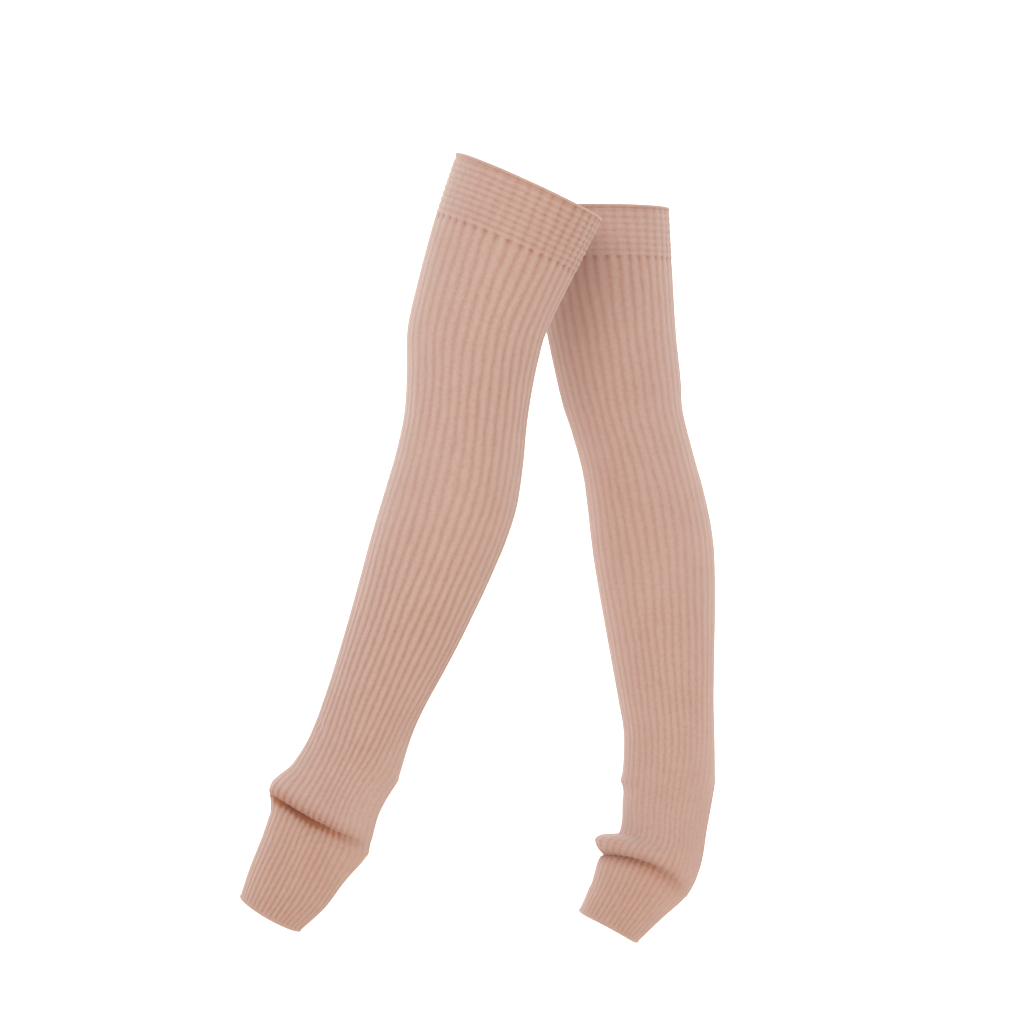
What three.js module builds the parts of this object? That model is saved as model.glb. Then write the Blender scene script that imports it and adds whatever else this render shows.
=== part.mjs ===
// A pair of thigh-high rib-knit stirrup leg warmers, in the hollow form they have when worn.
// Millimetres, +Z up. The toes point along -X, the left one lies at -Y and the right one at +Y.
// The origin is midway between the mouths of the two cuffs, where the pair is held up.
import * as THREE from 'three';

// Cloth: the inside is plain and the ribs stand out of the outside.
const WALL = 2.0;                 // inside face to mid height of the ribs
const RIB_HEIGHT = 0.7;           // crest above, and groove below, the mid height
const ROW_HEIGHT = 0.3;           // the same for the elastic rows of the cuff
const SEAM_GAP = 0.3;             // between two pieces that are sewn together
const EDGE_ROLL = 0.9;            // how far the hem's rolled edge stands out
const EDGE_ROLL_WIDTH = 4;

// Grid of a wall: a crest and a groove for each rib outside, fewer columns inside.
const RIB_COUNT = 39;
const OUTER_COLUMNS = 2 * RIB_COUNT;
const INNER_COLUMNS = 26;
const LONG_STEP = 75;             // between rows where the tube runs straight
const FOOT_STEP = 30;
const FOLD_STEP = 14;             // between rows round the heel opening and the folds
const NORMAL_STEP = 1;            // way along and round the cloth over which it is taken as flat

// How the cloth goes round.
const HEEL_POWER = 0.75;          // under 1 makes the ends of the heel opening blunter
const HEEL_REACH = 62;            // length over which the heel opening pushes the cloth aside
const EDGE_POWER = 8;             // the higher, the narrower the strip that follows its edge
const FRONT_POWER = 12;           // the higher, the narrower the part of a fold at the front

// Every table row lists its values in the order of the column names.
function table(columns, rows) {
  return rows.map((row) => Object.fromEntries(columns.map((name, i) => [name, row[i]])));
}

// Sections across the tube, from the cuff's mouth (at 0) down to the hem.
// at: way down the leg; x, z: centre; slope: degrees by which the section falls to the back;
// deep: front to back; wide: side to side; out: how far the centre is from the middle plane;
// bow: how much higher the cloth lies at the sides than at the front and back;
// crowd: share by which the ribs lie closer together at the sides.
const SECTION_COLUMNS = ['at', 'x', 'z', 'slope', 'deep', 'wide', 'out', 'bow', 'crowd'];

// Turns of a fold that goes round the front of the ankle. at: way past the crease; out: how far
// the cloth moves outward; front: the same at the very front; drop: how far it hangs down.
// The fold's spread is the power by which it fades toward the back.
const TURN_COLUMNS = ['at', 'out', 'front', 'drop'];

const LEFT = {
  name: 'left',
  side: -1,
  cuffEnd: 64,
  cuffRows: 10,
  hem: 769,
  heel: { top: 593, bottom: 673, gap: 34 },
  sections: table(SECTION_COLUMNS, [
    [0, -34, 3.4, 24.6, 157, 142, 80, 0, 0],
    [64, -57.3, -53.3, 23, 148.4, 139, 80, 0, 0],
    [135, -81.6, -120.5, 18, 135, 130, 79, 0, 0],
    [170, -89.9, -155.2, 14.3, 132.2, 127, 78, 0, 0],
    [206, -93.1, -190.2, 11, 124.7, 124, 78, 0, 0],
    [245, -96.8, -228.3, 9.3, 121.4, 123, 78, 0, 0],
    [283, -102.4, -266.1, 9, 125.7, 122, 78, 0, 0],
    [325, -111.6, -306.5, 10.5, 130.1, 121, 78, 0, 0],
    [370, -125.8, -349.3, 13, 127, 120, 78, 0, 0],
    [456, -156, -430, 17, 111.1, 106, 77, 0, 0.04],
    [541, -188.8, -509.1, 21, 94.5, 88, 76, 0, 0.06],
    [593, -206.2, -558.8, 25, 97.6, 77, 75, 0, 0.1],
    [632, -221, -594, 27.5, 108, 75, 75, 0, 0.15],
    [672, -239.2, -630.1, 28, 105.5, 77, 75, 0, 0.17],
    [705, -255.5, -657.7, 29, 93.2, 81, 75, 0, 0.17],
    [738, -272.3, -686.8, 30, 83.7, 85, 75, 0, 0.17],
    [769, -289.7, -713.3, 29.9, 66.5, 87, 75, 0, 0.17],
  ]),
  folds: [
    {
      at: 659,
      spread: 0.8,
      turns: table(TURN_COLUMNS, [
        [-55, 0, 0, 0],
        [-42, 0, 0, 0],
        [-29, 1.2, 1.2, 0],
        [-18, 6.2, 6.2, 0],
        [-9, 10.2, 10.2, 1],
        [-5, 9.8, 10.2, 3],
        [-2.5, 4.5, 9.2, 4.5],
        [0, -7, 7.5, 3.5],
        [3.5, -5, 7, 2],
        [9, 1.5, 4.5, 0],
        [20, 0, 0, 0],
      ]),
    },
  ],
};

const RIGHT = {
  name: 'right',
  side: 1,
  cuffEnd: 53,
  cuffRows: 8,
  hem: 756,
  heel: { top: 578, bottom: 691, gap: 32 },
  sections: table(SECTION_COLUMNS, [
    [0, 36.4, -7.6, 0, 144.4, 136, 80, 0, 0],
    [53, 41, -60.5, 0, 141, 134, 80, 0, 0],
    [132, 51.3, -139, -7, 129.8, 128, 79, 0, 0],
    [190, 60.5, -195.8, -9.6, 122.9, 120.5, 78, 0, 0],
    [218, 65.8, -223.1, -10, 115.6, 118, 78, 0, 0],
    [262, 76.9, -265.9, -9.3, 114.4, 118, 78, 0, 0],
    [303, 85.4, -306, -8, 119.8, 118, 78, 0, 0],
    [350, 92.5, -352.3, -6.6, 123.3, 115.5, 77.5, 0, 0.01],
    [399, 97.3, -401, -5, 117.5, 112, 77, 0, 0.03],
    [505, 105.8, -507.5, -1, 97.2, 90, 76, 0, 0.1],
    [541, 108.9, -543.3, 3.5, 93, 84.5, 75.5, 0, 0.1],
    [578, 109, -580, 8, 94.4, 79, 75, 0, 0.1],
    [621, 107.6, -623.3, 16, 96.5, 77, 75, 2, 0.06],
    [657, 102.1, -658.4, 21, 94, 78, 75, 9, 0.06],
    [687, 83.4, -686.2, 23.5, 97.5, 79, 75, 15, 0.08],
    [720, 66.4, -711, 27.2, 81, 83, 75, 9, 0.1],
    [756, 45.9, -739.3, 28.7, 66, 87, 75, 3, 0.1],
  ]),
  folds: [
    {
      at: 598,
      spread: 4,
      turns: table(TURN_COLUMNS, [
        [-26, 0, 0, 0],
        [-12, 0.6, 0.6, 0],
        [0, 2.6, 2.6, 0],
        [7, 0.3, 0.3, 0],
        [14, -0.6, -0.6, 0],
        [26, 0, 0, 0],
      ]),
    },
    {
      at: 682,
      spread: 0.9,
      turns: table(TURN_COLUMNS, [
        [-30, 0, 0, 0],
        [-22, 1, 0.5, 0],
        [-12, 7.5, 12, -3.4],
        [-8, 8.5, 15.5, 0],
        [-4, 5.5, 9, 3.4],
        [0, -5, -1.5, 2.2],
        [5, -1.2, -0.5, 0.4],
        [14, 0, 0, 0],
      ]),
    },
  ],
};

const radians = THREE.MathUtils.degToRad;

// Reads one column of a table in the span that starts at a row, on a cubic curve through all rows.
function read(rows, span, column, t) {
  const row = (i) => rows[THREE.MathUtils.clamp(i, 0, rows.length - 1)];
  const rate = (i) => (row(i + 1)[column] - row(i - 1)[column]) / (row(i + 1).at - row(i - 1).at);
  const length = row(span + 1).at - row(span).at;
  const start = row(span)[column];
  const change = row(span + 1)[column] - start;
  const rateStart = rate(span) * length;
  const rateEnd = rate(span + 1) * length;
  const bend = t * (1 - t);
  return start + change * t * t * (3 - 2 * t) + bend * (1 - t) * rateStart - bend * t * rateEnd;
}

function readAll(rows, columns, at) {
  let span = 0;
  while (span < rows.length - 2 && at > rows[span + 1].at) span += 1;
  const t = (at - rows[span].at) / (rows[span + 1].at - rows[span].at);
  return Object.fromEntries(columns.slice(1).map((name) => [name, read(rows, span, name, t)]));
}

function sectionAt(leg, at) {
  return readAll(leg.sections, SECTION_COLUMNS, at);
}

// What a fold does at a distance from its crease, which is nothing above its first turn and below
// its last.
function foldAt(fold, away) {
  const inside = away > fold.turns[0].at && away < fold.turns[fold.turns.length - 1].at;
  return inside ? readAll(fold.turns, TURN_COLUMNS, away) : { out: 0, front: 0, drop: 0 };
}

// Half the angle by which the heel opening parts the back of the tube.
function heelGap(leg, at) {
  const { top, bottom, gap } = leg.heel;
  if (at <= top || at >= bottom) return 0;
  const t = 2 * (at - top) / (bottom - top) - 1;
  return radians(gap) * (1 - t * t) ** HEEL_POWER;
}

// The angle of a share of the way round, from the back seam over +Y to the front and on to the
// seam. The heel opening pushes the cloth's edge aside, and the rest of it more gently.
function angleRound(leg, at, share, gap, crowd) {
  const { top, bottom } = leg.heel;
  const away = (at - (top + bottom) / 2) / HEEL_REACH;
  const gentle = radians(leg.heel.gap) * Math.exp(-away * away);
  const fromFront = 1 - 2 * share;
  const atEdge = Math.abs(fromFront) ** EDGE_POWER;
  const aside = gentle * fromFront * Math.abs(fromFront) * (1 - atEdge);
  const even = 2 * Math.PI * share;
  const crowded = crowd / 2 * Math.sin(2 * even);
  return even + crowded + aside + gap * Math.sign(fromFront) * atEdge;
}

// A point of the cloth's middle form, with its folds.
function middlePoint(leg, at, share, gap) {
  const section = sectionAt(leg, at);
  const slope = radians(section.slope);
  const toBack = new THREE.Vector3(Math.cos(slope), 0, -Math.sin(slope));
  const toSide = new THREE.Vector3(0, 1, 0);
  const down = new THREE.Vector3(-Math.sin(slope), 0, -Math.cos(slope));
  const angle = angleRound(leg, at, share, gap, section.crowd);
  const backShare = Math.cos(angle);
  const sideShare = Math.sin(angle);
  const outward = toBack.clone().multiplyScalar(backShare * section.wide)
    .addScaledVector(toSide, sideShare * section.deep).normalize();
  const point = new THREE.Vector3(section.x, leg.side * section.out, section.z)
    .addScaledVector(toBack, backShare * section.deep / 2)
    .addScaledVector(toSide, sideShare * section.wide / 2)
    .addScaledVector(down, -section.bow * sideShare * sideShare);
  const towardFront = (1 - backShare) / 2;
  for (const fold of leg.folds) {
    const fade = towardFront ** fold.spread;
    const { out, front, drop } = foldAt(fold, at - fold.at);
    const outHere = THREE.MathUtils.lerp(out, front, towardFront ** FRONT_POWER);
    point.addScaledVector(outward, fade * outHere);
    point.addScaledVector(down, fade * drop);
  }
  return point;
}

// The two edges that meet at a seam are square to the cloth at the middle of its gap.
function squareAt(leg, at) {
  const middles = [leg.cuffEnd, leg.heel.bottom].map((seam) => seam + SEAM_GAP / 2);
  return middles.find((middle) => Math.abs(at - middle) < SEAM_GAP) ?? at;
}

// A point lifted off the middle form, square to the cloth there.
function clothPoint(leg, at, share, lift, gap) {
  const roundStep = NORMAL_STEP / sectionAt(leg, at).deep;
  const square = squareAt(leg, at);
  const downWay = middlePoint(leg, square + NORMAL_STEP, share, gap)
    .sub(middlePoint(leg, square - NORMAL_STEP, share, gap));
  const roundWay = middlePoint(leg, square, share + roundStep, gap)
    .sub(middlePoint(leg, square, share - roundStep, gap));
  const outward = downWay.cross(roundWay).normalize();
  return middlePoint(leg, at, share, gap).addScaledVector(outward, lift);
}

// Adds a vertex for each column of a row. Where the row is whole, the last column is the first.
function addRow(positions, leg, at, columns, liftOf) {
  const gap = heelGap(leg, at);
  const row = [];
  for (let column = 0; column <= columns; column += 1) {
    if (column === columns && gap === 0) {
      row.push(row[0]);
      continue;
    }
    const point = clothPoint(leg, at, column / columns, liftOf(column), gap);
    row.push(positions.length / 3);
    positions.push(point.x, point.y, point.z);
  }
  return row;
}

function addSheet(faces, rows, facingOut) {
  for (let i = 0; i + 1 < rows.length; i += 1) {
    for (let j = 0; j + 1 < rows[i].length; j += 1) {
      const [a, b, c, d] = [rows[i][j], rows[i + 1][j], rows[i + 1][j + 1], rows[i][j + 1]];
      faces.push(...(facingOut ? [a, b, c, a, c, d] : [a, c, b, a, d, c]));
    }
  }
}

// Joins the outer and inner rows at an end of the wall.
function addRim(faces, outer, inner, facingUp) {
  const ratio = (outer.length - 1) / (inner.length - 1);
  const addFace = (a, b, c) => faces.push(...(facingUp ? [a, b, c] : [a, c, b]));
  let near = 0;
  for (let j = 0; j + 1 < outer.length; j += 1) {
    addFace(inner[near], outer[j], outer[j + 1]);
    const next = Math.round((j + 1) / ratio);
    if (next > near) {
      addFace(inner[near], outer[j + 1], inner[next]);
      near = next;
    }
  }
}

// Closes the wall along one edge of the heel opening, at the rows' first column or their last.
function addSlitSide(faces, outerRows, innerRows, atLast, facingForward) {
  const edge = (row) => row[atLast * (row.length - 1)];
  for (let i = 0; i + 1 < outerRows.length; i += 1) {
    const [a, b] = [edge(outerRows[i]), edge(outerRows[i + 1])];
    const [c, d] = [edge(innerRows[i]), edge(innerRows[i + 1])];
    faces.push(...(facingForward ? [a, b, d, a, d, c] : [a, c, d, a, d, b]));
  }
}

// A wall from one distance to another. The rows give each distance and its lift off mid height.
function wallGeometry(leg, outerRows, innerStep) {
  const positions = [];
  const faces = [];
  const ribLift = (column) => (column % 2 === 0 ? RIB_HEIGHT : -RIB_HEIGHT);
  const outer = outerRows.map(({ at, lift, ribs }) => (
    addRow(positions, leg, at, OUTER_COLUMNS, (column) => lift + ribs * ribLift(column))));
  const innerAt = outerRows.filter((row, i) => i % innerStep === 0).map(({ at }) => at);
  const inner = innerAt.map((at) => addRow(positions, leg, at, INNER_COLUMNS, () => -WALL));
  addSheet(faces, outer, true);
  addSheet(faces, inner, false);
  addRim(faces, outer[0], inner[0], true);
  addRim(faces, outer[outer.length - 1], inner[inner.length - 1], false);
  const firstOpen = outerRows.findIndex(({ at }) => heelGap(leg, at) > 0);
  if (firstOpen > 0) {
    const [outerSlit, innerSlit] = [outer.slice(firstOpen - 1), inner.slice(firstOpen - 1)];
    addSlitSide(faces, outerSlit, innerSlit, 0, false);
    addSlitSide(faces, outerSlit, innerSlit, 1, true);
  }
  const geometry = new THREE.BufferGeometry();
  geometry.setAttribute('position', new THREE.Float32BufferAttribute(positions, 3));
  geometry.setIndex(faces);
  geometry.computeVertexNormals();
  return geometry;
}

function evenRows(start, end, step) {
  const count = Math.ceil((end - start) / step);
  const rows = [];
  for (let i = 0; i < count; i += 1) {
    rows.push({ at: start + (end - start) * i / count, lift: 0, ribs: 1 });
  }
  return rows;
}

// The cuff's elastic rows stand out one after the other, a crest and a groove each.
function cuffRows(leg) {
  const count = 2 * leg.cuffRows;
  const rows = [];
  for (let i = 0; i <= count; i += 1) {
    const lift = i % 2 === 1 ? ROW_HEIGHT : -ROW_HEIGHT;
    rows.push({ at: leg.cuffEnd * i / count, lift, ribs: 1 });
  }
  return rows;
}

// Rows with one at each turn of the folds, and the others evenly between.
function foldedRows(leg, start, end, step) {
  const turns = leg.folds.flatMap((fold) => fold.turns.map(({ at }) => fold.at + at));
  const stops = turns.filter((at) => at > start && at < end).sort((a, b) => a - b);
  const rows = [];
  let from = start;
  for (const stop of [...stops, end]) {
    rows.push(...evenRows(from, stop, step));
    from = stop;
  }
  return rows;
}

// The leg's rows lie closer from the top of the heel opening down.
function legRows(leg) {
  const { top, bottom } = leg.heel;
  return [
    ...foldedRows(leg, leg.cuffEnd + SEAM_GAP, top, LONG_STEP),
    ...foldedRows(leg, top, bottom, FOLD_STEP),
    { at: bottom, lift: 0, ribs: 1 },
  ];
}

// The stirrup ends in a rolled edge on which the ribs die out.
function stirrupRows(leg) {
  const rollStart = leg.hem - EDGE_ROLL_WIDTH;
  return [
    ...foldedRows(leg, leg.heel.bottom + SEAM_GAP, rollStart, FOOT_STEP),
    { at: rollStart, lift: 0, ribs: 1 },
    { at: leg.hem - EDGE_ROLL_WIDTH / 2, lift: EDGE_ROLL, ribs: 0.4 },
    { at: leg.hem, lift: 0, ribs: 0.2 },
  ];
}

function knit(color) {
  return new THREE.MeshStandardMaterial({ color, roughness: 0.95, metalness: 0 });
}

const CUFF_COLOR = 0xca9e90;
const LEG_COLOR = 0xcba89a;
const STIRRUP_COLOR = 0xc49a88;

function legWarmer(leg) {
  const group = new THREE.Group();
  const pieces = [
    ['cuff', cuffRows(leg), leg.cuffRows, CUFF_COLOR],
    ['leg', legRows(leg), 1, LEG_COLOR],
    ['stirrup', stirrupRows(leg), 1, STIRRUP_COLOR],
  ];
  for (const [piece, rows, innerStep, color] of pieces) {
    const mesh = new THREE.Mesh(wallGeometry(leg, rows, innerStep), knit(color));
    mesh.name = `${leg.name}_${piece}`;
    group.add(mesh);
  }
  return group;
}

const pair = new THREE.Group();
pair.add(legWarmer(LEFT));
pair.add(legWarmer(RIGHT));

export default pair;
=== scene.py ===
"""A pair of thigh-high rib-knit stirrup leg warmers in their hollow worn form.

Sizes are in millimetres until a mesh is made, and metres after that. The toes point along -X,
the left leg warmer lies at -Y and the right one at +Y. The origin is midway between the cuffs.
"""
import math

import bmesh
import bpy
import numpy as np
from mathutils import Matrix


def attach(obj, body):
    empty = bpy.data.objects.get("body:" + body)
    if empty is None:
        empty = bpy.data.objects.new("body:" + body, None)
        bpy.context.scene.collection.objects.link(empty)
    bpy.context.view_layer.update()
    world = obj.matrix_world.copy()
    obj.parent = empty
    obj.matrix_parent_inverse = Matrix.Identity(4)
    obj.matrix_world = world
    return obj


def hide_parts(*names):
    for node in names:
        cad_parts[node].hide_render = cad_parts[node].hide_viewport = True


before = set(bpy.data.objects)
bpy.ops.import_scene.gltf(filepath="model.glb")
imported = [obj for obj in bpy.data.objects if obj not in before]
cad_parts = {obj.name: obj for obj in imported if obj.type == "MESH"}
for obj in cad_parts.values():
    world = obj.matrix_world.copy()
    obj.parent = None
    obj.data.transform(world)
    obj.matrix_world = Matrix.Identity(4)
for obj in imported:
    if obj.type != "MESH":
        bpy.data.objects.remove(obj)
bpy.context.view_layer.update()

MM = 0.001

# The cloth
WALL = 2.0                  # plain inside to mid height of the ribs
RIB_COUNT = 39
RIB_HEIGHT = 0.52           # crest above, and groove below, the mid height
RIB_WIDTH_POWER = 0.62      # under 1 makes the crests wider than the grooves
INSIDE_RIB_HEIGHT = 0.35    # the same ribs seen from the inside, where they are pressed flat
ROW_HEIGHT = 0.42           # elastic rows of the cuff
CUFF_RIBS_FRONT = 0.15      # share of their full height that the cuff's ribs have at the front
CUFF_RIBS_BACK = 0.8        # and at the back
STITCH_LINE_WIDTH = 2.6     # row of dimples that joins the cuff to the leg
STITCH_LINE_DEPTH = 1.1
STITCH_LINE_SHADE = 0.6     # how much shade is painted into its dimples
STITCH_LINE_CREST = 0.15    # depth on a rib's crest, as a share of that in a groove
THIGH_LENGTH = 650          # length over which the ribs stand out more at the back
SEAM_GAP = 0.05
HEEL_POWER = 0.75           # under 1 makes the ends of the heel opening blunter
HEEL_REACH = 62             # length over which the heel opening pushes the cloth aside
EDGE_POWER = 8              # the higher, the narrower the strip that follows the opening's edge
FRONT_POWER = 12            # the higher, the narrower the part of a fold that is at the front
EDGE_ROLL = 1.1             # how far a rolled edge stands out
EDGE_ROLL_WIDTH = 4.5
EDGE_ROUND_WIDTH = WALL * 0.9
EDGE_ROUND_DEPTH = (WALL + RIB_HEIGHT) * 0.5
TOP_ROLL_WIDTH = 3          # smooth roll along the cuff's mouth
BAND_WIDTH = 11             # smooth band along the heel opening
BAND_PLAIN = 0.45           # share of the band that has no ribs at all
HEEL_ROLL = 0.6             # the roll along the heel opening, as a share of EDGE_ROLL
HEEL_ROLL_MIDDLE = 2        # its distance from the edge, which is half its width
STRETCHED_WIDTH = 42        # cloth round the heel that is pulled smooth
STRETCHED_RIBS = 0.35       # share of their height that the ribs keep there
BACK_SEAM_WIDTH = 5
BACK_SEAM_DEPTH = 0.8
BACK_SEAM_SHARPNESS = 6
COURSE_HEIGHT = 2.1         # one row of stitches
WALES_PER_RIB = 4           # columns of stitches in a rib and its groove
GROOVE_SHADE = 0.5          # painted shade in a groove, for each unit below the crest
INSIDE_PAINTED_LIGHTNESS = 0.6         # painted lightness of the inside at mid height, darker than the crests, and its change with the ribs, which paints shade into the grooves
INSIDE_PAINTED_LIGHTNESS_CHANGE = 0.3

# The ribs wander by a sum of waves. Columns: share of a rib; way down the leg for one radian;
# waves in a turn round the leg; radians at the start
RIB_WANDER = (
    (0.07, 37, 3, 0),
    (0.05, 19, -5, 1.3),
    (0.035, 9.5, 11, 0.4),
    (0.02, 5.1, -17, 0),
)

# Folds and creases
FALL_SHARE = 0.4            # share of the way to the back over which a fold's crease falls
SHADE_MIDDLE = 2.5          # the painted shade under a fold: its distance below the crease
SHADE_WIDTH = 7.5
SHADE_FULL_DEPTH = 7        # depth of a fold that gives the full painted shade
SHADE_SPREAD = 0.4          # the lower, the further back the painted shade goes
CREASE_WAVE = 3             # a crease's waviness: millimetres, and degrees for one radian
CREASE_WAVE_TURN = 9
CREASE_END_POWER = 1.5
TROUGH_SHARPNESS = 4
SHOULDER_SHARPNESS = 5
SHOULDER_HEIGHT = 0.4       # of a crease's sides, as a share of its depth

# The cuff's cells, in which an elastic row crosses a rib
CORNER_DEPTH = 0.4          # a cell's extra depth where a groove crosses the gap of two rows
# Painted shade of the cells: at the corners where a groove crosses the gap of two rows, in the grooves,
# and between the rows
CORNER_SHADE = 0.12
CUFF_GROOVE_SHADE = 0.45
CUFF_ROW_SHADE = 0.2
CUFF_FADE = 3               # length over which its pattern goes over into the leg's
TOP_ROLL_HEIGHT = 0.8
TOP_ROLL_SIDE = 1.2
TOP_GROOVE_DEPTH = 0.5      # the groove under the roll along the mouth
# painted shade in the groove under the roll
TOP_GROOVE_SHADE = 0.7
TOP_GROOVE_AWAY = 0.6
TOP_GROOVE_WIDTH = 0.9

# Grid of a fine wall
SAMPLES_PER_RIB = 10
OUTER_COLUMNS = SAMPLES_PER_RIB * RIB_COUNT
INNER_COLUMNS = 2 * RIB_COUNT
OUTER_PER_INNER = OUTER_COLUMNS // INNER_COLUMNS
NORMAL_STEP = 0.5
LOWEST_PAINTED_LIGHTNESS = -0.5        # lowest painted lightness: that of the cloth in a fold's painted shade
EDGE_WAYS = np.array([0.0, 0.1, 0.3, 0.7, 1.2, 1.8])    # rows along a rounded edge
EDGE_LENGTH = 2.4
CUFF_STEP = 0.85            # distance of the rows after that, for each kind of place
LEG_STEP = 5.2
HEEL_STEP = 2.1
FOLD_STEP = 1.05
STIRRUP_STEP = 1.5
ABOVE_HEEL = 24             # length above the heel opening that has its closer rows
ABOVE_FOLD = 14             # length above and below a fold's crease that has the closest rows
BELOW_FOLD = 9
WELD_DISTANCE = 2e-6
SHARP_ANGLE = 65            # degrees past which two faces meet in a sharp edge

# Sections across the tube, from the cuff's mouth (at 0) down to the hem. at: way down the leg;
# x, z: centre; slope: degrees by which the section falls to the back; deep: front to back;
# wide: side to side; out: how far the centre is from the middle plane; bow: how much higher the
# cloth lies at the sides than at the front and back; crowd: share by which the ribs lie closer
# together at the sides; ribs: share of their full height, which stretching takes from them.
SECTION_COLUMNS = ("at", "x", "z", "slope", "deep", "wide", "out", "bow", "crowd", "ribs")

# A fold goes round the front of the ankle. at: way down the leg to its crease; falls: how much
# lower the crease lies at the sides; spread: the higher, the sooner it fades to the back.
# Its turns: at: way past the crease; out: how far the cloth moves outward; front: the same at
# the very front; drop: how far it hangs down.
TURN_COLUMNS = ("at", "out", "front", "drop")

# Soft creases: at: way down the leg; turn: degrees from the back seam over +Y; length: degrees;
# rise: how far the crease climbs along its length; width; depth, under 0 for a ridge.
CREASE_COLUMNS = ("at", "turn", "length", "rise", "width", "depth")


def table(columns, rows):
    return {name: np.array([row[i] for row in rows], float) for i, name in enumerate(columns)}


def rows_of(columns, rows):
    return [dict(zip(columns, row)) for row in rows]


LEFT = {
    "name": "left",
    "side": -1,
    "cuff_end": 64,
    "cuff_rows": 10,
    "cuff_relief": 0.9,
    "back_ribs": 0.9,
    "hem": 769,
    "heel": {"top": 593, "bottom": 673, "gap": 34},
    "sections": table(SECTION_COLUMNS, [
        (0, -34, 3.4, 24.6, 157, 142, 80, 0, 0, 0.5),
        (64, -57.3, -53.3, 23, 148.4, 139, 80, 0, 0, 0.42),
        (135, -81.6, -120.5, 18, 135, 130, 79, 0, 0, 0.4),
        (170, -89.9, -155.2, 14.3, 132.2, 127, 78, 0, 0, 0.42),
        (206, -93.1, -190.2, 11, 124.7, 124, 78, 0, 0, 0.45),
        (245, -96.8, -228.3, 9.3, 121.4, 123, 78, 0, 0, 0.45),
        (283, -102.4, -266.1, 9, 125.7, 122, 78, 0, 0, 0.4),
        (325, -111.6, -306.5, 10.5, 130.1, 121, 78, 0, 0, 0.42),
        (370, -125.8, -349.3, 13, 127, 120, 78, 0, 0, 0.52),
        (456, -156, -430, 17, 111.1, 106, 77, 0, 0.04, 0.7),
        (541, -188.8, -509.1, 21, 94.5, 88, 76, 0, 0.06, 0.68),
        (593, -206.2, -558.8, 25, 97.6, 77, 75, 0, 0.1, 0.62),
        (632, -221, -594, 27.5, 108, 75, 75, 0, 0.15, 0.5),
        (672, -239.2, -630.1, 28, 105.5, 77, 75, 0, 0.17, 0.6),
        (705, -255.5, -657.7, 29, 93.2, 81, 75, 0, 0.17, 0.62),
        (738, -272.3, -686.8, 30, 83.7, 85, 75, 0, 0.17, 0.68),
        (769, -289.7, -713.3, 29.9, 66.5, 87, 75, 0, 0.17, 0.7),
    ]),
    "folds": [{
        "at": 659,
        "falls": 2,
        "spread": 0.95,
        "turns": table(TURN_COLUMNS, [
            (-55, 0, 0, 0),
            (-42, 0, 0, 0),
            (-29, 1.2, 1.2, 0),
            (-18, 6.2, 6.2, 0),
            (-9, 10.2, 10.2, 1),
            (-5, 9.8, 10.2, 3),
            (-2.5, 4.5, 9.2, 4.5),
            (0, -7.5, 7.5, 3.5),
            (3.5, -7, 7, 2),
            (9, -1.5, 4.5, 0),
            (20, 0, 0, 0),
        ]),
    }],
    "creases": rows_of(CREASE_COLUMNS, [
        (575, 205, 50, 10, 9, 1.0),
        (612, 120, 60, -14, 10, 0.9),
        (686, 262, 70, 6, 16, -1.6),
        (688, 306, 46, 8, 20, 2.0),
        (700, 120, 70, 4, 12, 0.8),
    ]),
}

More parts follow.
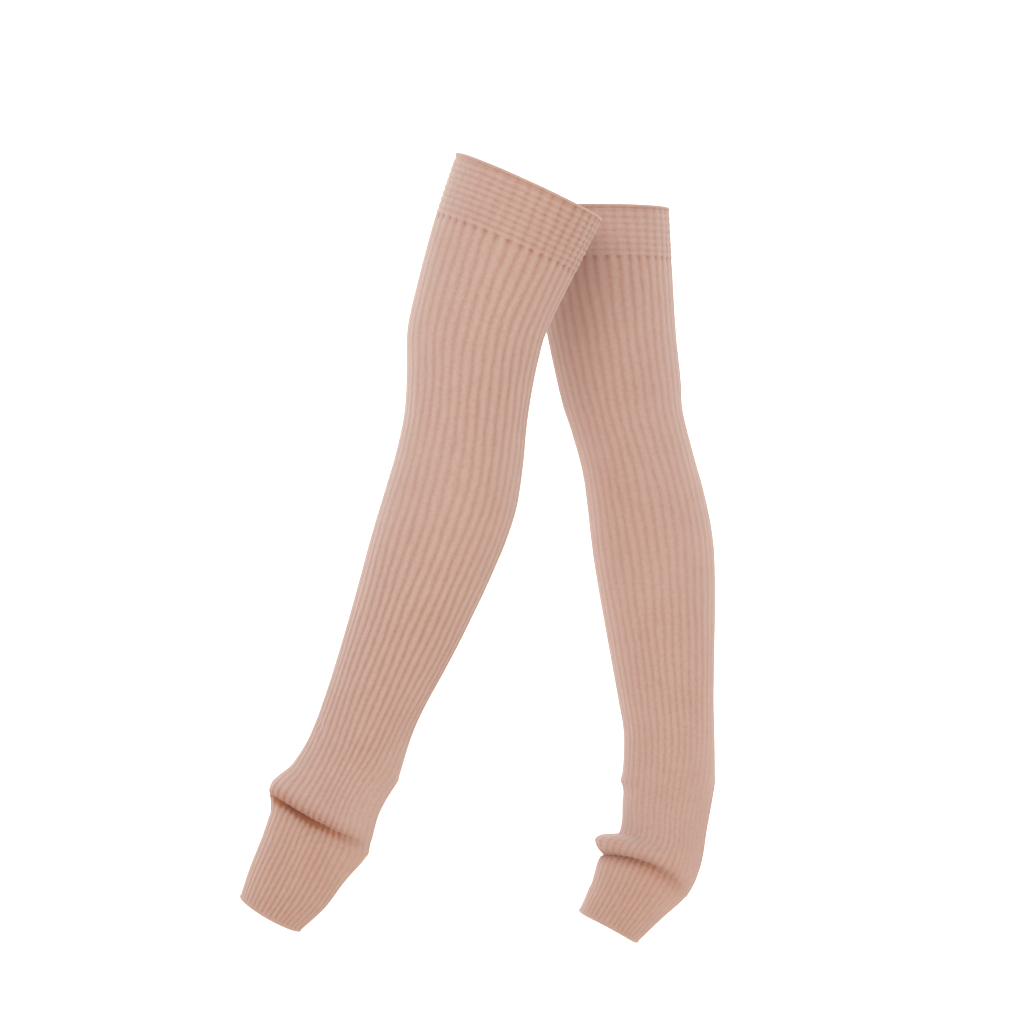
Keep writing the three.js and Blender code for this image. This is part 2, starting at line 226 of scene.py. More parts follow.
RIGHT = {
    "name": "right",
    "side": 1,
    "cuff_end": 53,
    "cuff_rows": 8,
    "cuff_relief": 0.6,
    "back_ribs": 0.2,
    "hem": 756,
    "heel": {"top": 578, "bottom": 691, "gap": 32},
    "sections": table(SECTION_COLUMNS, [
        (0, 36.4, -7.6, 0, 144.4, 136, 80, 0, 0, 0.6),
        (53, 41, -60.5, 0, 141, 134, 80, 0, 0, 0.5),
        (132, 51.3, -139, -7, 129.8, 128, 79, 0, 0, 0.42),
        (190, 60.5, -195.8, -9.6, 122.9, 120.5, 78, 0, 0, 0.4),
        (218, 65.8, -223.1, -10, 115.6, 118, 78, 0, 0, 0.4),
        (262, 76.9, -265.9, -9.3, 114.4, 118, 78, 0, 0, 0.38),
        (303, 85.4, -306, -8, 119.8, 118, 78, 0, 0, 0.38),
        (350, 92.5, -352.3, -6.6, 123.3, 115.5, 77.5, 0, 0.01, 0.37),
        (399, 97.3, -401, -5, 117.5, 112, 77, 0, 0.03, 0.38),
        (505, 105.8, -507.5, -1, 97.2, 90, 76, 0, 0.1, 0.42),
        (541, 108.9, -543.3, 3.5, 93, 84.5, 75.5, 0, 0.1, 0.38),
        (578, 109, -580, 8, 94.4, 79, 75, 0, 0.1, 0.34),
        (621, 107.6, -623.3, 16, 96.5, 77, 75, 2, 0.06, 0.32),
        (657, 102.1, -658.4, 21, 94, 78, 75, 9, 0.06, 0.34),
        (687, 83.4, -686.2, 23.5, 97.5, 79, 75, 15, 0.08, 0.4),
        (720, 66.4, -711, 27.2, 81, 83, 75, 9, 0.1, 0.5),
        (756, 45.9, -739.3, 28.7, 66, 87, 75, 3, 0.1, 0.55),
    ]),
    "folds": [{
        "at": 598,
        "falls": 0,
        "spread": 4,
        "turns": table(TURN_COLUMNS, [
            (-26, 0, 0, 0),
            (-12, 0.6, 0.6, 0),
            (0, 2.6, 2.6, 0),
            (7, 0.3, 0.3, 0),
            (14, -0.6, -0.6, 0),
            (26, 0, 0, 0),
        ]),
    }, {
        "at": 682,
        "falls": 3.5,
        "spread": 0.9,
        "turns": table(TURN_COLUMNS, [
            (-30, 0, 0, 0),
            (-22, 1, 0.5, 0),
            (-12, 7.5, 12, -3.6),
            (-8, 8.5, 15.5, -0.8),
            (-4, 5.5, 7.8, 2.4),
            (0, -5, -1.5, 2.2),
            (5, -1.2, -0.5, 0.4),
            (14, 0, 0, 0),
        ]),
    }],
    "creases": rows_of(CREASE_COLUMNS, [
        (575, 260, 90, 4, 8, 0.6),
        (640, 130, 40, -12, 10, 0.7),
        (725, 190, 60, 3, 8, 0.5),
    ]),
}


def read(rows, column, at):
    """One column of the sections at each distance, on a cubic curve through all rows."""
    way, values = rows["at"], rows[column]
    last = len(way) - 1
    before = np.maximum(np.arange(last + 1) - 1, 0)
    after = np.minimum(np.arange(last + 1) + 1, last)
    rate = (values[after] - values[before]) / (way[after] - way[before])
    span = np.clip(np.searchsorted(way, at, side="left") - 1, 0, last - 1)
    length = way[span + 1] - way[span]
    t = (at - way[span]) / length
    change = values[span + 1] - values[span]
    bend = t * (1 - t)
    return (values[span] + change * t * t * (3 - 2 * t)
            + bend * (1 - t) * rate[span] * length - bend * t * rate[span + 1] * length)


def smoothstep(t):
    t = np.clip(t, 0, 1)
    return t * t * (3 - 2 * t)


def fold_turn(fold, column, away):
    """One column of a fold's turns, and 0 above and below the fold."""
    turns = fold["turns"]
    inside = (away > turns["at"][0]) & (away < turns["at"][-1])
    near = np.clip(away, turns["at"][0], turns["at"][-1])
    return np.where(inside, read(turns, column, near), 0)


def past_crease(fold, at, toward_front):
    """The way past a fold's crease, which lies lower at the sides than at the front."""
    return at - fold["at"] - fold["falls"] * smoothstep((1 - toward_front) / FALL_SHARE)


def heel_gap(leg, at):
    """Half the angle by which the heel opening parts the back of the tube, in radians."""
    heel = leg["heel"]
    t = 2 * (at - heel["top"]) / (heel["bottom"] - heel["top"]) - 1
    return math.radians(heel["gap"]) * np.clip(1 - t * t, 0, None) ** HEEL_POWER


def angle_round(leg, at, share, gap, crowd):
    """The angle of a share of the way round, from the back seam over +Y to the front and on.

    The heel opening pushes the edge of the cloth aside, and the rest of it more gently.
    """
    heel = leg["heel"]
    middle = (heel["top"] + heel["bottom"]) / 2
    gentle = math.radians(heel["gap"]) * np.exp(-((at - middle) / HEEL_REACH) ** 2)
    from_front = 1 - 2 * share
    at_edge = np.abs(from_front) ** EDGE_POWER
    aside = gentle * from_front * np.abs(from_front) * (1 - at_edge)
    even = 2 * math.pi * share
    return even + crowd / 2 * np.sin(2 * even) + aside + gap * np.sign(from_front) * at_edge


def middle_points(leg, at, share, gap):
    """Points of the cloth's middle form, with its folds. The arrays all have the grid's shape."""
    section = {name: read(leg["sections"], name, at) for name in SECTION_COLUMNS[1:]}
    slope = np.radians(section["slope"])
    angle = angle_round(leg, at, share, gap, section["crowd"])
    back_share, side_share = np.cos(angle), np.sin(angle)
    normal = np.stack([back_share * section["wide"], side_share * section["deep"]])
    normal /= np.linalg.norm(normal, axis=0)
    to_back = back_share * section["deep"] / 2
    to_side = side_share * section["wide"] / 2
    to_down = -section["bow"] * side_share ** 2
    toward_front = (1 - back_share) / 2
    at_front = toward_front ** FRONT_POWER
    for fold in leg["folds"]:
        fade = toward_front ** fold["spread"]
        away = past_crease(fold, at, toward_front)
        side_out, front_out = fold_turn(fold, "out", away), fold_turn(fold, "front", away)
        out = fade * (side_out + (front_out - side_out) * at_front)
        to_back = to_back + out * normal[0]
        to_side = to_side + out * normal[1]
        to_down = to_down + fade * fold_turn(fold, "drop", away)
    return np.stack([
        section["x"] + to_back * np.cos(slope) - to_down * np.sin(slope),
        leg["side"] * section["out"] + to_side,
        section["z"] - to_back * np.sin(slope) - to_down * np.cos(slope),
    ], axis=-1)


def cloth_points(leg, at, share, gap, lift):
    """Points lifted off the middle form, square to the cloth there."""
    round_step = NORMAL_STEP / read(leg["sections"], "deep", at)
    down_way = (middle_points(leg, at + NORMAL_STEP, share, gap)
                - middle_points(leg, at - NORMAL_STEP, share, gap))
    round_way = (middle_points(leg, at, share + round_step, gap)
                 - middle_points(leg, at, share - round_step, gap))
    outward = np.cross(down_way, round_way)
    outward /= np.linalg.norm(outward, axis=-1, keepdims=True)
    return middle_points(leg, at, share, gap) + outward * lift[..., None]


def edge_distance(leg, at, share):
    """Distance from the edge of the heel opening, or from its ends above and below it."""
    heel = leg["heel"]
    girth = math.pi * (read(leg["sections"], "deep", at) + read(leg["sections"], "wide", at)) / 2
    across = np.minimum(share, 1 - share) * girth
    beyond = np.maximum(np.maximum(heel["top"] - at, at - heel["bottom"]), 0)
    return np.hypot(across, beyond)


def wobble(at, share):
    """A small smooth wandering of the ribs, in shares of a rib."""
    turn = 2 * math.pi * share
    return sum(size * np.sin(at / length + times * turn + start)
               for size, length, times, start in RIB_WANDER)


def rib_wave(at, share):
    """1 on a rib's crest and -1 in its groove."""
    phase = 2 * math.pi * (share * RIB_COUNT + wobble(at, share))
    crest = (0.5 + 0.5 * np.cos(phase)) ** RIB_WIDTH_POWER
    return 2 * crest - 1


def crease_lift(leg, at, share):
    """Soft creases: a trough with a low shoulder on both sides, or a ridge."""
    lift = np.zeros_like(at)
    for crease in leg["creases"]:
        turn = (share * 360 - crease["turn"] + 180) % 360 - 180
        along = turn / crease["length"] * 2
        wave = CREASE_WAVE * np.sin(turn / CREASE_WAVE_TURN)
        middle = crease["at"] + crease["rise"] * along / 2 + wave
        across = (at - middle) / crease["width"]
        ends = np.clip(1 - along ** 2, 0, None) ** CREASE_END_POWER
        trough = np.exp(-across ** 2 * TROUGH_SHARPNESS)
        shoulder = SHOULDER_HEIGHT * np.exp(-(np.abs(across) - 1) ** 2 * SHOULDER_SHARPNESS)
        lift += crease["depth"] * ends * (shoulder - trough)
    return lift


def fold_shade(leg, at, share):
    """Painted shade just below a fold's crease: the lightness that the colour loses there."""
    toward_front = 0.5 - 0.5 * np.cos(2 * math.pi * share)
    shade = np.zeros_like(at)
    for fold in leg["folds"]:
        depth = np.clip(-fold["turns"]["out"].min() / SHADE_FULL_DEPTH, 0, 1)
        away = past_crease(fold, at, toward_front)
        below = np.exp(-((away - SHADE_MIDDLE) / SHADE_WIDTH) ** 2)
        fade = toward_front ** (SHADE_SPREAD * fold["spread"])
        shade = np.maximum(shade, depth * below * fade)
    return (1 - LOWEST_PAINTED_LIGHTNESS) * shade


def toward_back(share):
    """1 at the back seam and 0 at the very front."""
    return 0.5 + 0.5 * np.cos(2 * math.pi * share)


def worn_ribs(leg, at, share):
    """The ribs' share of their full height, which is greater at the back of the thigh."""
    thigh = smoothstep(1 - at / THIGH_LENGTH)
    return read(leg["sections"], "ribs", at) * (1 + leg["back_ribs"] * thigh * toward_back(share) ** 2)


def rib_strength(leg, at, share):
    """The ribs are pulled flat round the heel, and stop at the band along its opening."""
    away = edge_distance(leg, at, share)
    free = smoothstep((away - BAND_WIDTH) / STRETCHED_WIDTH)
    stretched = STRETCHED_RIBS + (1 - STRETCHED_RIBS) * free
    at_band = smoothstep((away - BAND_WIDTH * BAND_PLAIN) / (BAND_WIDTH * (1 - BAND_PLAIN)))
    return worn_ribs(leg, at, share) * stretched * at_band


def back_seam(leg, at, share):
    """The seam pulls the cloth in a little, and stops at the heel opening."""
    girth = math.pi * read(leg["sections"], "deep", at)
    across = np.minimum(share, 1 - share) * girth / BACK_SEAM_WIDTH
    closed = np.where((at < leg["heel"]["top"]) | (at > leg["heel"]["bottom"]), 1.0, 0.0)
    return -BACK_SEAM_DEPTH * closed * np.exp(-across ** 2 * BACK_SEAM_SHARPNESS)


def edge_round(distance):
    """How far an edge's outer face has come down where it turns over to the inside."""
    t = np.clip(distance / EDGE_ROUND_WIDTH, 0, 1)
    return EDGE_ROUND_DEPTH * (1 - np.sqrt(t * (2 - t)))


def dimples(leg, at, share):
    """The stitches that join the cuff to the leg pull the grooves between the ribs in."""
    away = np.abs(at - leg["cuff_end"]) / STITCH_LINE_WIDTH
    groove = np.clip(0.5 - 0.5 * rib_wave(at, share), 0, 1)
    return smoothstep(1 - away) * (STITCH_LINE_CREST + (1 - STITCH_LINE_CREST) * groove)


def cuff_cells(leg, at, share, rib):
    """The height of the cells that rows of elastic make across the ribs, and the shade painted into
    their grooves, between their rows and at their corners.
    """
    row = -np.cos(2 * math.pi * leg["cuff_rows"] * at / leg["cuff_end"])
    row = 2 * (0.5 + 0.5 * row) ** RIB_WIDTH_POWER - 1
    strength = CUFF_RIBS_FRONT + (CUFF_RIBS_BACK - CUFF_RIBS_FRONT) * toward_back(share) ** 2
    corner = strength * np.minimum(rib, 0) * (1 - row)
    cells = RIB_HEIGHT * (strength * rib + CORNER_DEPTH * corner) + ROW_HEIGHT * row
    painted_shade = CUFF_GROOVE_SHADE * strength * (1 - rib) + CUFF_ROW_SHADE * (1 - row) - CORNER_SHADE * corner
    return cells * leg["cuff_relief"], painted_shade * leg["cuff_relief"]


def cuff_lift(leg, at, share):
    """The lift off the middle form, and the painted lightness: 1 on crests and less where shade is
    painted into the grooves.
    """
    rib = rib_wave(at, share)
    cells, painted_cell_shade = cuff_cells(leg, at, share, rib)
    leg_strength = worn_ribs(leg, at, share)
    joined = smoothstep((leg["cuff_end"] - at) / CUFF_FADE)
    pattern = joined * cells + (1 - joined) * RIB_HEIGHT * leg_strength * rib
    painted_shade = joined * painted_cell_shade + (1 - joined) * GROOVE_SHADE * leg_strength * (1 - rib)
    top_edge = smoothstep((TOP_ROLL_WIDTH - at) / TOP_ROLL_SIDE)
    under_edge = np.exp(-((at - TOP_ROLL_WIDTH - TOP_GROOVE_AWAY) / TOP_GROOVE_WIDTH) ** 2)
    pattern = pattern * (1 - top_edge) + TOP_ROLL_HEIGHT * top_edge - TOP_GROOVE_DEPTH * under_edge
    painted_shade = painted_shade * (1 - top_edge) + TOP_GROOVE_SHADE * under_edge
    dimple = dimples(leg, at, share)
    painted_shade = painted_shade + STITCH_LINE_SHADE * leg["cuff_relief"] * dimple
    return pattern - STITCH_LINE_DEPTH * dimple - edge_round(at), 1 - painted_shade


def leg_lift(leg, at, share):
    """The leg's lift and painted lightness, with the roll along its heel opening."""
    away = edge_distance(leg, at, share)
    in_heel = (at > leg["heel"]["top"]) & (at < leg["heel"]["bottom"])
    edge = np.where(in_heel, away, BAND_WIDTH)
    on_roll = smoothstep(1 - np.abs(edge - HEEL_ROLL_MIDDLE) / HEEL_ROLL_MIDDLE)
    roll = EDGE_ROLL * HEEL_ROLL * on_roll
    form = crease_lift(leg, at, share) + back_seam(leg, at, share) + roll - edge_round(edge)
    strength, rib = rib_strength(leg, at, share), rib_wave(at, share)
    dimple = dimples(leg, at, share)
    lift = form + RIB_HEIGHT * strength * rib - STITCH_LINE_DEPTH * dimple
    painted_shade = GROOVE_SHADE * strength * (1 - rib) + STITCH_LINE_SHADE * leg["cuff_relief"] * dimple
    painted_shade = painted_shade + fold_shade(leg, at, share)
    return lift, 1 - painted_shade


def stirrup_lift(leg, at, share):
    """The foot tube's lift and painted lightness, with its rolled hem."""
    to_hem = leg["hem"] - at
    roll = EDGE_ROLL * smoothstep(1 - np.abs(to_hem - EDGE_ROLL_WIDTH / 2) / (EDGE_ROLL_WIDTH / 2))
    form = crease_lift(leg, at, share) + back_seam(leg, at, share) + roll - edge_round(to_hem)
    strength = rib_strength(leg, at, share) * smoothstep((to_hem - 1) / EDGE_ROLL_WIDTH)
    rib = rib_wave(at, share)
    painted_shade = GROOVE_SHADE * strength * (1 - rib) + fold_shade(leg, at, share)
    return form + RIB_HEIGHT * strength * rib, 1 - painted_shade


def inside_lift(leg, at, share):
    """The same ribs on the inside, where they are pressed flat, with painted shade in their grooves."""
    ribs = -rib_strength(leg, at, share) * rib_wave(at, share)
    form = np.minimum(crease_lift(leg, at, share), 0) - WALL
    return form + INSIDE_RIB_HEIGHT * ribs, INSIDE_PAINTED_LIGHTNESS + INSIDE_PAINTED_LIGHTNESS_CHANGE * ribs


def wall_mesh(leg, name, ways, lift):
    """A closed wall: the outside, the inside, the rims and the sides of the heel opening."""
    open_rows = heel_gap(leg, ways) > 1e-6
    vertices, uvs, painted_lightness_values, faces, grids = [], [], [], [], []
    count = 0
    for columns, outside in ((OUTER_COLUMNS, True), (INNER_COLUMNS, False)):
        at, share = np.meshgrid(ways, np.linspace(0, 1, columns + 1), indexing="ij")
        gap = heel_gap(leg, at)
        if name == "stirrup":
            gap = np.zeros_like(gap)
        height, painted_lightness = (lift if outside else inside_lift)(leg, at, share)
        points = cloth_points(leg, at, share, gap, height)
        index = count + np.arange(at.size).reshape(at.shape)
        count += at.size
        vertices.append(points.reshape(-1, 3) * MM)
        painted_lightness_values.append(np.clip(painted_lightness, LOWEST_PAINTED_LIGHTNESS, 1).ravel())
        uvs.append(np.stack([share * RIB_COUNT, -at / COURSE_HEIGHT], -1).reshape(-1, 2))
        grids.append(index)
    outer, inner = grids
    faces += quads(outer, True)
    faces += quads(inner, False)
    faces += rim(outer[0], inner[0], True)
    faces += rim(outer[-1], inner[-1], False)
    if name == "leg":
        slit = np.flatnonzero(open_rows)
        rows = np.arange(slit[0] - 1, min(slit[-1] + 2, len(ways)))
        faces += slit_side(outer[rows, 0], inner[rows, 0], False)
        faces += slit_side(outer[rows, -1], inner[rows, -1], True)
    cloth = [np.concatenate(parts) for parts in (vertices, uvs, painted_lightness_values)]
    return build(f"{leg['name']}_{name}", faces, *cloth)


def quads(index, facing_out):
    """The faces between the rows and columns of a grid."""
    a, b = index[:-1, :-1].ravel(), index[1:, :-1].ravel()
    c, d = index[1:, 1:].ravel(), index[:-1, 1:].ravel()
    corners = (a, b, c, d) if facing_out else (a, d, c, b)
    return np.stack(corners, 1).tolist()


def rim(outer, inner, facing_up):
    """The faces of a tube's end, each from one column of the inside to the next."""
    faces = []
    for j in range(len(inner) - 1):
        first = OUTER_PER_INNER * j
        ring = [inner[j], *outer[first:first + OUTER_PER_INNER + 1], inner[j + 1]]
        faces.append([int(v) for v in (ring if facing_up else ring[::-1])])
    return faces


def slit_side(outer, inner, facing_forward):
    """The faces along one side of the heel opening."""
    faces = []
    for i in range(len(outer) - 1):
        ring = [outer[i], outer[i + 1], inner[i + 1], inner[i]]
        faces.append([int(v) for v in (ring if facing_forward else ring[::-1])])
    return faces


def build(name, faces, vertices, uvs, painted_lightness_values):
    """A mesh with the knit's coordinates and its painted lightness, 1 on crests and lowest in a fold's
    painted shade.
    """
    mesh = bpy.data.meshes.new(name)
    mesh.from_pydata(vertices.tolist(), [], faces)
    painted_lightness = mesh.attributes.new("painted_lightness", "FLOAT", "POINT")
    painted_lightness.data.foreach_set("value", painted_lightness_values.astype(np.float32))
    layer = mesh.uv_layers.new(name="Knit")
    corner = np.empty(len(mesh.loops), np.int32)
    mesh.loops.foreach_get("vertex_index", corner)
    layer.data.foreach_set("uv", uvs[corner].astype(np.float32).ravel())
    piece = bpy.data.objects.new(name + "_knit", mesh)
    bpy.context.scene.collection.objects.link(piece)
    bpy.context.view_layer.objects.active = piece
    weld(mesh)
    mesh.shade_smooth()
    mesh.set_sharp_from_angle(angle=math.radians(SHARP_ANGLE))
    return piece


def weld(mesh):
    """Joins the first and last columns where the tube is whole."""
    work = bmesh.new()
    work.from_mesh(mesh)
    bmesh.ops.remove_doubles(work, verts=work.verts, dist=WELD_DISTANCE)
    work.to_mesh(mesh)
    work.free()


def ways_between(start, end, step):
    """Distances down the leg from start to end, at most a step apart."""
    return np.linspace(start, end, int(math.ceil((end - start) / step)) + 1)


def piece_ways(leg, name):
    """The distances down the leg of a piece's rows of points, closer where it bends more."""
    heel = leg["heel"]
    if name == "cuff":
        return np.concatenate([EDGE_WAYS, ways_between(EDGE_LENGTH, leg["cuff_end"], CUFF_STEP)])
    if name == "leg":
        start = leg["cuff_end"] + SEAM_GAP
        change = heel["top"] - ABOVE_HEEL
        ways = [ways_between(start, change, LEG_STEP), ways_between(change, heel["bottom"], HEEL_STEP)]
        for fold in leg["folds"]:
            end = min(fold["at"] + BELOW_FOLD, heel["bottom"])
            ways.append(ways_between(fold["at"] - ABOVE_FOLD, end, FOLD_STEP))
        return np.unique(np.round(np.concatenate(ways), 3))
    start = heel["bottom"] + SEAM_GAP
    ways = ways_between(start, leg["hem"] - EDGE_LENGTH, STIRRUP_STEP)
    return np.concatenate([ways, leg["hem"] - EDGE_WAYS[::-1]])


def node(tree, kind, **inputs):
    """A shader node with its sockets and settings, each socket given a value or a link."""
    made = tree.nodes.new("ShaderNode" + kind)
    for key, value in inputs.items():
        if key in made.inputs.keys():
            socket = made.inputs[key]
        else:
            setattr(made, key, value)
            continue
        if isinstance(value, bpy.types.NodeSocket):
            tree.links.new(value, socket)
        else:
            socket.default_value = value
    return made


def math_node(tree, operation, *values, clamp=False):
    """The result of a sum whose values are numbers or links."""
    made = tree.nodes.new("ShaderNodeMath")
    made.operation = operation
    made.use_clamp = clamp
    for socket, value in zip(made.inputs, values):
        if isinstance(value, bpy.types.NodeSocket):
            tree.links.new(value, socket)
        else:
            socket.default_value = value
    return made.outputs[0]


# Colours of the knit: on the crests; painted shade in the grooves and at the bottom of a fold. The
# stirrup's are darker and warmer: painted shade on the foot.
CREST = (0.58, 0.41, 0.36)
PAINTED_GROOVE_COLOUR = (0.42, 0.21, 0.145)
STIRRUP_SHADED_CREST = (0.572, 0.386, 0.325)
STIRRUP_PAINTED_GROOVE_COLOUR = (0.41, 0.20, 0.135)
PAINTED_FOLD_SHADE_COLOUR = (0.40, 0.14, 0.065)
PAINTED_FOLD_SHADE_END = 0.08          # place of the grooves' painted shade colour, between the fold's painted shade and the crests
SHEEN_TINT = (1.0, 0.9, 0.88)

# Stitches: how far a row's two legs slope, and how much a row's ends are lower than its middle
STITCH_SLOPE = 1.3
STITCH_ROW_CHANGE = 0.35
STITCH_ROW_BASE = 0.65

# Noise: Scale is about the number of its lumps in a metre
FUZZ = {"Scale": 900.0, "Detail": 3.0, "Roughness": 0.7}
MOTTLE = {"Scale": 26.0, "Detail": 4.0, "Roughness": 0.6}
FIBRE = {"Scale": 320.0, "Detail": 2.0, "Roughness": 0.6}

# Shares of each in the colour, and in the bump
# The painted lightness paints shade into the grooves, the dimples and the folds
PAINTED_LIGHTNESS_SHARE = 0.82
# The stitches' share paints shade between the stitch legs
STITCH_SHARE = 0.2
MOTTLE_SHARE = 0.3
FIBRE_SHARE = 0.6
STITCH_BUMP = 0.8
FUZZ_BUMP = 0.45
BUMP_STRENGTH = 0.55
BUMP_HEIGHT = 0.0005


def stitch_pattern(tree):
    """The height of the stitches, whose legs make a V in each column."""
    uv = node(tree, "UVMap", uv_map="Knit").outputs["UV"]
    split = node(tree, "SeparateXYZ", Vector=uv)
    round_way, down_way = split.outputs["X"], split.outputs["Y"]
    wale = math_node(tree, "FRACT", math_node(tree, "MULTIPLY", round_way, WALES_PER_RIB))
    aside = math_node(tree, "ABSOLUTE", math_node(tree, "SUBTRACT", wale, 0.5))
    leg_of_v = math_node(tree, "SINE", math_node(tree, "MULTIPLY", aside, 2 * math.pi))
    slope = math_node(tree, "MULTIPLY", aside, STITCH_SLOPE)
    course = math_node(tree, "SUBTRACT", down_way, slope)
    course = math_node(tree, "SINE", math_node(tree, "MULTIPLY", course, 2 * math.pi))
    course = math_node(tree, "MULTIPLY_ADD", course, STITCH_ROW_CHANGE, STITCH_ROW_BASE)
    return math_node(tree, "MULTIPLY", leg_of_v, course)


def noise_share(tree, place, noise, share):
    """A noise round 0, at its share of the colour."""
    made = node(tree, "TexNoise", Vector=place, **noise)
    around_zero = math_node(tree, "SUBTRACT", made.outputs["Fac"], 0.5)
    return math_node(tree, "MULTIPLY", around_zero, share)


def knit_material(name, light, deep):
    """Rib knit: stitches as bump, painted shade in the grooves, in folds and between the stitches, and
    the mottle of a brushed yarn.
    """
    material = bpy.data.materials.new(name)
    material.use_nodes = True
    tree = material.node_tree
    shader = tree.nodes["Principled BSDF"]
    painted_lightness = node(tree, "Attribute", attribute_name="painted_lightness").outputs["Fac"]
    stitch = stitch_pattern(tree)
    place = node(tree, "TexCoord").outputs["Object"]

    shade = math_node(tree, "MULTIPLY", painted_lightness, PAINTED_LIGHTNESS_SHARE)
    shade = math_node(tree, "ADD", shade, math_node(tree, "MULTIPLY", stitch, STITCH_SHARE))
    shade = math_node(tree, "ADD", shade, noise_share(tree, place, MOTTLE, MOTTLE_SHARE))
    shade = math_node(tree, "ADD", shade, noise_share(tree, place, FIBRE, FIBRE_SHARE), clamp=True)
    # The ramp runs from the fold's painted shade through the grooves' painted shade to the crests'
    # colour
    ramp = node(tree, "ValToRGB", Fac=shade)
    ramp.color_ramp.elements[0].color = (*PAINTED_FOLD_SHADE_COLOUR, 1)
    ramp.color_ramp.elements[1].color = (*light, 1)
    ramp.color_ramp.elements.new(PAINTED_FOLD_SHADE_END).color = (*deep, 1)
    tree.links.new(ramp.outputs["Color"], shader.inputs["Base Color"])

    fuzz = node(tree, "TexNoise", Vector=place, **FUZZ)
    height = math_node(tree, "ADD", math_node(tree, "MULTIPLY", stitch, STITCH_BUMP),
                       math_node(tree, "MULTIPLY", fuzz.outputs["Fac"], FUZZ_BUMP))
    bump = node(tree, "Bump", Height=height, Strength=BUMP_STRENGTH, Distance=BUMP_HEIGHT)
    tree.links.new(bump.outputs["Normal"], shader.inputs["Normal"])
    shader.inputs["Roughness"].default_value = 0.95
    shader.inputs["Specular IOR Level"].default_value = 0.15
    shader.inputs["Sheen Weight"].default_value = 0.8
    shader.inputs["Sheen Roughness"].default_value = 0.5
    shader.inputs["Sheen Tint"].default_value = (*SHEEN_TINT, 1)
    return material


CUFF = knit_material("cuff_knit", CREST, PAINTED_GROOVE_COLOUR)
LEG = knit_material("leg_knit", CREST, PAINTED_GROOVE_COLOUR)
# The stirrup's colours are darker and warmer: painted shade on the foot
SHADED_STIRRUP_KNIT = knit_material("stirrup_knit", STIRRUP_SHADED_CREST, STIRRUP_PAINTED_GROOVE_COLOUR)

PIECES = {
    "cuff": {"lift": cuff_lift, "material": CUFF},
    "leg": {"lift": leg_lift, "material": LEG},
    "stirrup": {"lift": stirrup_lift, "material": SHADED_STIRRUP_KNIT},
}


def make_leg_warmer(leg):
    """The cuff, leg and stirrup of one leg warmer, which all ride on the root."""
    for name, piece in PIECES.items():
        ways = piece_ways(leg, name)
        made = wall_mesh(leg, name, ways, piece["lift"])
        made.data.materials.append(piece["material"])
        cad_name = f"{leg['name']}_{name}"
        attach(made, "root")
        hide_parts(cad_name)


make_leg_warmer(LEFT)
make_leg_warmer(RIGHT)

# Camera: level, in front of the pair's side, far enough away for the photo's flat perspective
CAMERA_DISTANCE = 4.5
VIEW_CENTRE = (-0.053, -0.315)
VIEW_WIDTH = 1.02
SENSOR = 0.036
FLOOR_Z = -0.9
FLOOR_WIDTH = 16.0
FLOOR_FRONT = -8.0
FLOOR_BACK = 6.0
FLOOR_HEIGHT = 5.0
CURVE_RADIUS = 2.5
CURVE_STEPS = 16
FLOOR_COLOUR = (0.92, 0.85, 0.78)


def make_camera():
    """The camera of the photo."""
    data = bpy.data.cameras.new("Camera")
    data.sensor_width = SENSOR * 1000
    data.lens = data.sensor_width * CAMERA_DISTANCE / VIEW_WIDTH
    camera = bpy.data.objects.new("Camera", data)
    camera.location = (VIEW_CENTRE[0], -CAMERA_DISTANCE, VIEW_CENTRE[1])
    camera.rotation_euler = (math.pi / 2, 0, 0)
    bpy.context.scene.collection.objects.link(camera)
    bpy.context.scene.camera = camera


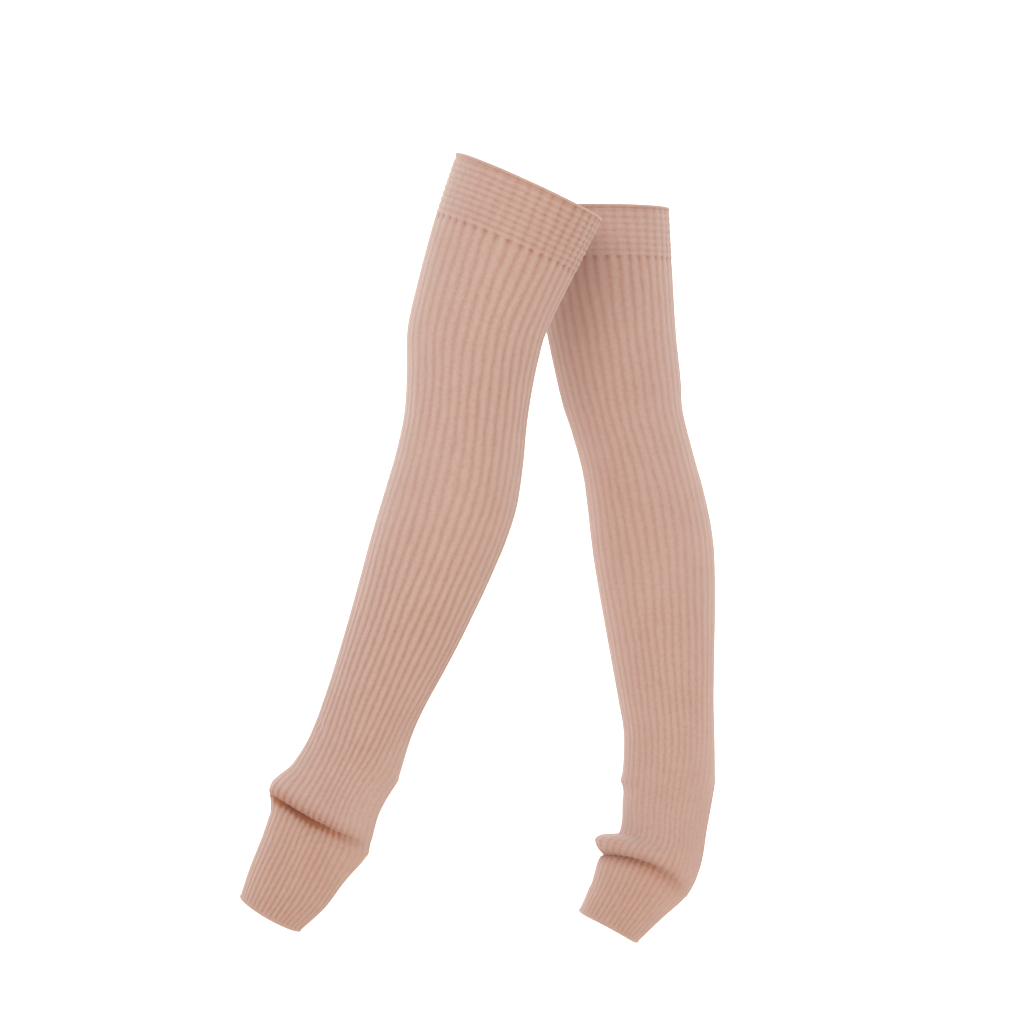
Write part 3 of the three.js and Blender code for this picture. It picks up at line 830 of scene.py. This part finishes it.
def make_floor():
    """A pale floor that curves up into a backdrop."""
    curve_start = FLOOR_BACK - CURVE_RADIUS
    profile = [(FLOOR_FRONT, 0.0), (curve_start, 0.0)]
    for i in range(1, CURVE_STEPS + 1):
        turn = math.pi / 2 * i / CURVE_STEPS
        profile.append((curve_start + CURVE_RADIUS * math.sin(turn),
                        CURVE_RADIUS * (1 - math.cos(turn))))
    profile.append((FLOOR_BACK, FLOOR_HEIGHT))
    sides = (-FLOOR_WIDTH / 2, FLOOR_WIDTH / 2)
    vertices = [(x, y, FLOOR_Z + z) for y, z in profile for x in sides]
    faces = [(2 * i, 2 * i + 1, 2 * i + 3, 2 * i + 2) for i in range(len(profile) - 1)]
    mesh = bpy.data.meshes.new("floor")
    mesh.from_pydata(vertices, [], faces)
    mesh.shade_smooth()
    floor = bpy.data.objects.new("floor", mesh)
    bpy.context.scene.collection.objects.link(floor)
    material = bpy.data.materials.new("floor")
    material.use_nodes = True
    shader = material.node_tree.nodes["Principled BSDF"]
    shader.inputs["Base Color"].default_value = (*FLOOR_COLOUR, 1)
    shader.inputs["Roughness"].default_value = 0.9
    mesh.materials.append(material)


def make_light(name, place, target, size, power, colour):
    """A round soft light of a size in metres and a power in watts."""
    data = bpy.data.lights.new(name, "AREA")
    data.shape = "DISK"
    data.size = size
    data.energy = power
    data.color = colour
    light = bpy.data.objects.new(name, data)
    light.location = place
    direction = np.array(target) - np.array(place)
    yaw = math.atan2(direction[1], direction[0])
    pitch = math.atan2(math.hypot(direction[0], direction[1]), -direction[2])
    light.rotation_euler = (pitch, 0, yaw - math.pi / 2)
    bpy.context.scene.collection.objects.link(light)


HORIZON = (0.36, 0.33, 0.31)
ZENITH = (1.07, 1.06, 1.05)


def make_world():
    """A soft sky, brighter above than at the sides."""
    world = bpy.data.worlds.new("World")
    bpy.context.scene.world = world
    world.use_nodes = True
    tree = world.node_tree
    background = tree.nodes["Background"]
    direction = node(tree, "TexCoord").outputs["Generated"]
    height = node(tree, "SeparateXYZ", Vector=direction).outputs["Z"]
    ramp = node(tree, "ValToRGB", Fac=height)
    ramp.color_ramp.elements[0].color = (*HORIZON, 1)
    ramp.color_ramp.elements[1].color = (*ZENITH, 1)
    tree.links.new(ramp.outputs["Color"], background.inputs["Color"])


make_camera()
make_floor()
make_world()
AIM = (-0.05, 0.0, -0.35)
make_light("key", (-0.55, -2.8, 0.85), AIM, 1.8, 32.5, (1.0, 0.995, 0.99))
make_light("side", (-2.6, 1.2, 0.8), AIM, 1.8, 5, (0.85, 0.92, 1.0))
make_light("rim", (1.6, 1.0, 2.6), AIM, 1.6, 18, (0.98, 0.97, 1.0))
make_light("bounce", (0.8, -0.4, -0.82), (-0.1, 0.0, -0.6), 0.5, 0.5, (1.0, 0.5, 0.22))
make_light("backdrop", (0.0, 2.6, 2.8), (0.0, 6.0, -0.2), 2.4, 240, (1.0, 1.0, 1.0))
bpy.context.scene.view_settings.view_transform = "Standard"
